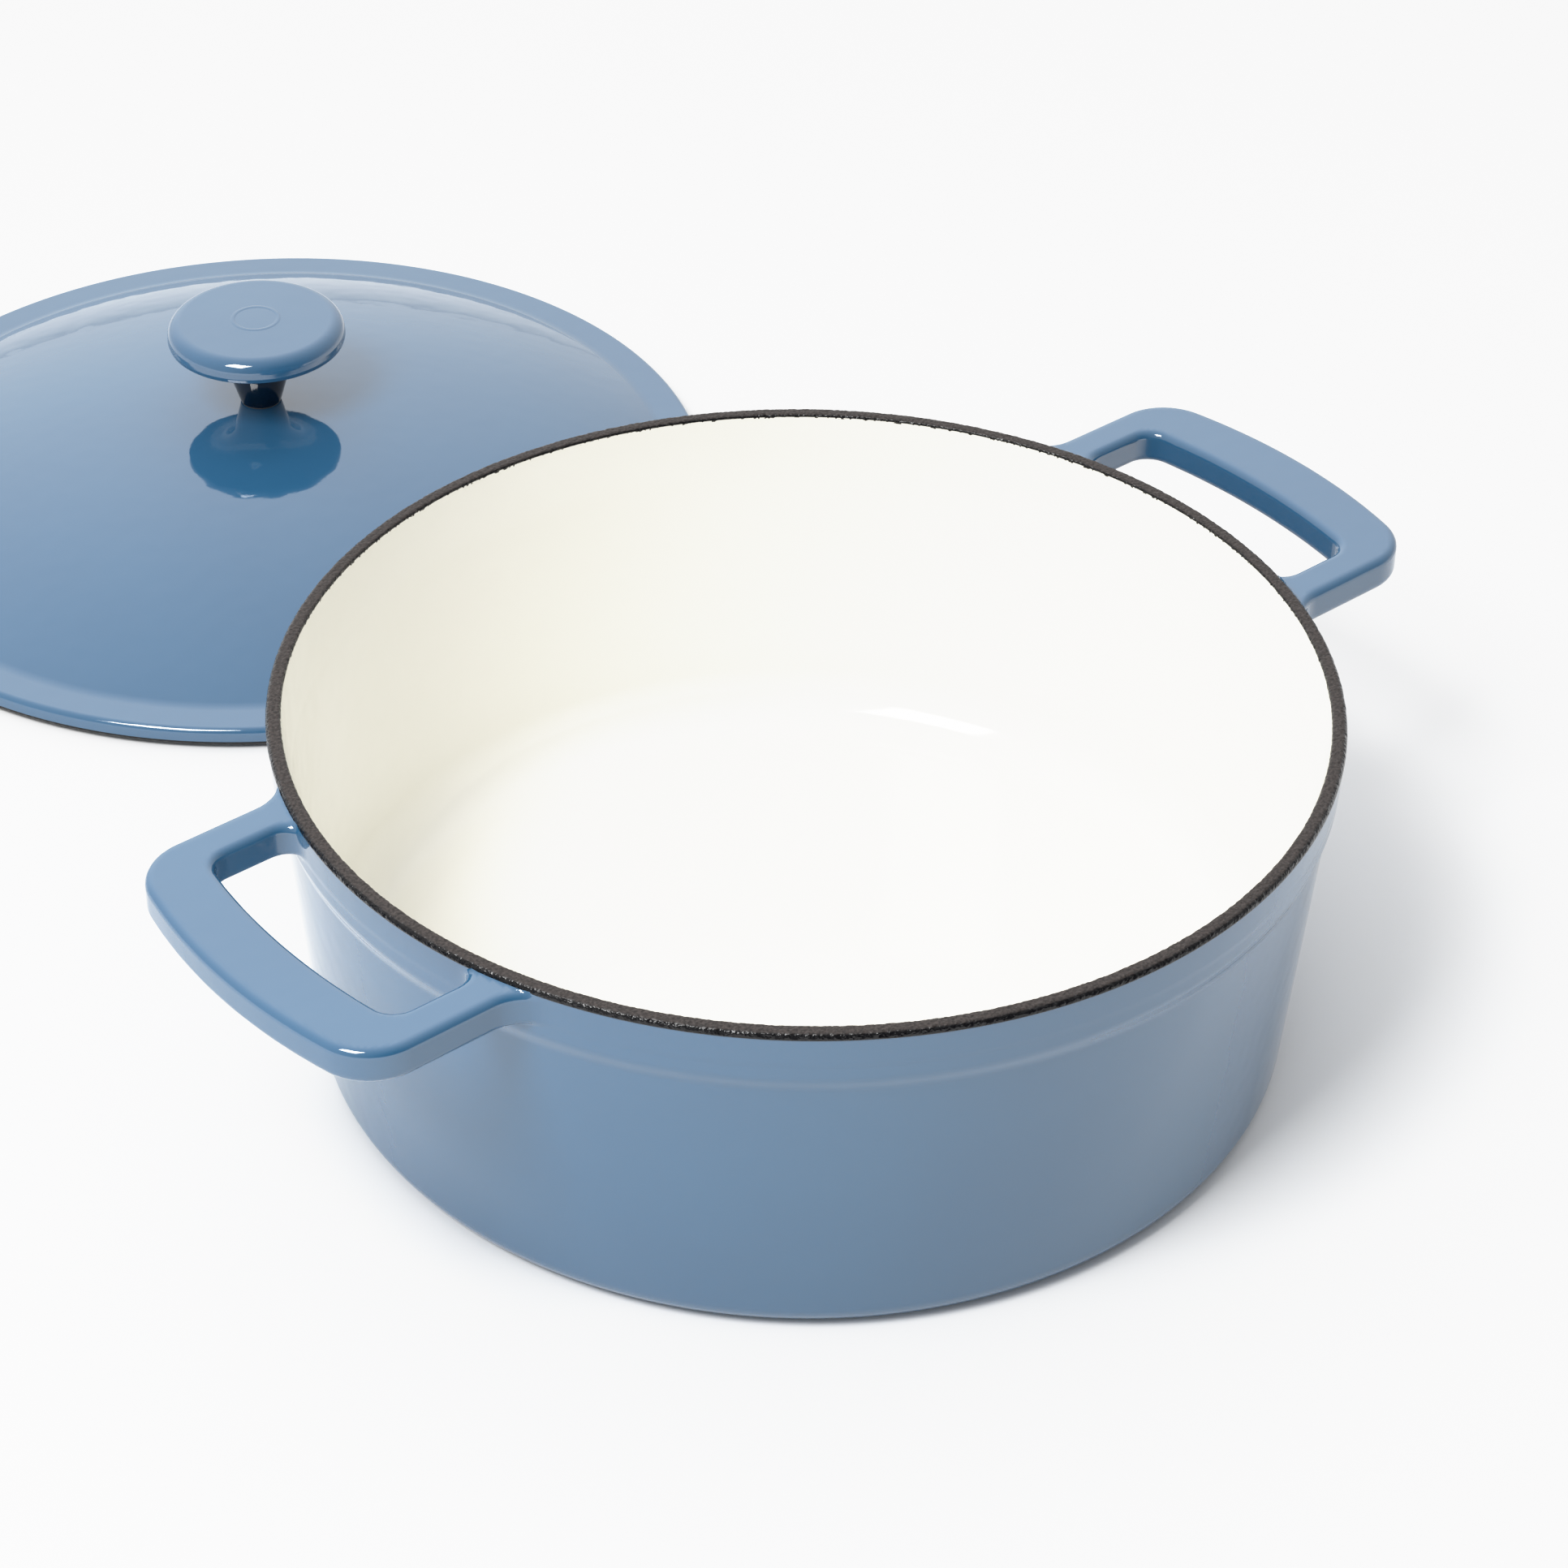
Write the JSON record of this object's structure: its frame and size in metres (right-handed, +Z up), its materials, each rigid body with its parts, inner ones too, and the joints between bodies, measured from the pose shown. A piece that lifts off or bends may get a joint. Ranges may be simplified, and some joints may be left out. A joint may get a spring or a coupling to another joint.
{
  "type": "cast iron dutch oven",
  "caption": "Round enamelled cast iron dutch oven with loop handles, its domed lid with a mushroom knob lying beside the open pot.",
  "frame": {"origin": "centre of the pot's foot, on the table it stands on", "axes": "+X through the pot's right-hand handle, +Y from the pot towards the lid beside it, +Z up"},
  "size_m": [0.352, 0.5636, 0.1],
  "materials": {
    "cast_iron": "sand-cast iron under enamel; bare and ground smooth only on the foot and on the land of the lid's ring",
    "blue_enamel": "glossy dusty-blue vitreous enamel with a faint orange peel",
    "cream_enamel": "glossy warm-white vitreous enamel",
    "black_enamel": "matte, pebbly black ground-coat enamel",
    "base_enamel": "satin black ground-coat enamel",
    "gasket": "thin black heat-proof washer",
    "stainless_steel": "plain stainless steel"
  },
  "bodies": {
    "pot": {"pot_casting": "cast_iron", "pot_exterior_enamel": "blue_enamel", "pot_interior_enamel": "cream_enamel", "pot_rim_enamel": "black_enamel", "pot_base_enamel": "base_enamel"},
    "lid": {"lid_casting": "cast_iron", "lid_exterior_enamel": "blue_enamel", "lid_interior_enamel": "cream_enamel", "lid_rim_enamel": "black_enamel", "knob_casting": "cast_iron", "knob_enamel": "blue_enamel", "knob_gasket": "gasket", "flat_washer": "stainless_steel", "lock_washer": "stainless_steel", "knob_screw": "stainless_steel"}
  },
  "joints": [
    {"name": "lid_lift", "type": "slide", "parent": "pot", "child": "lid", "axis": [0, 0, 1], "range_m": [0, 0.18]}
  ]
}
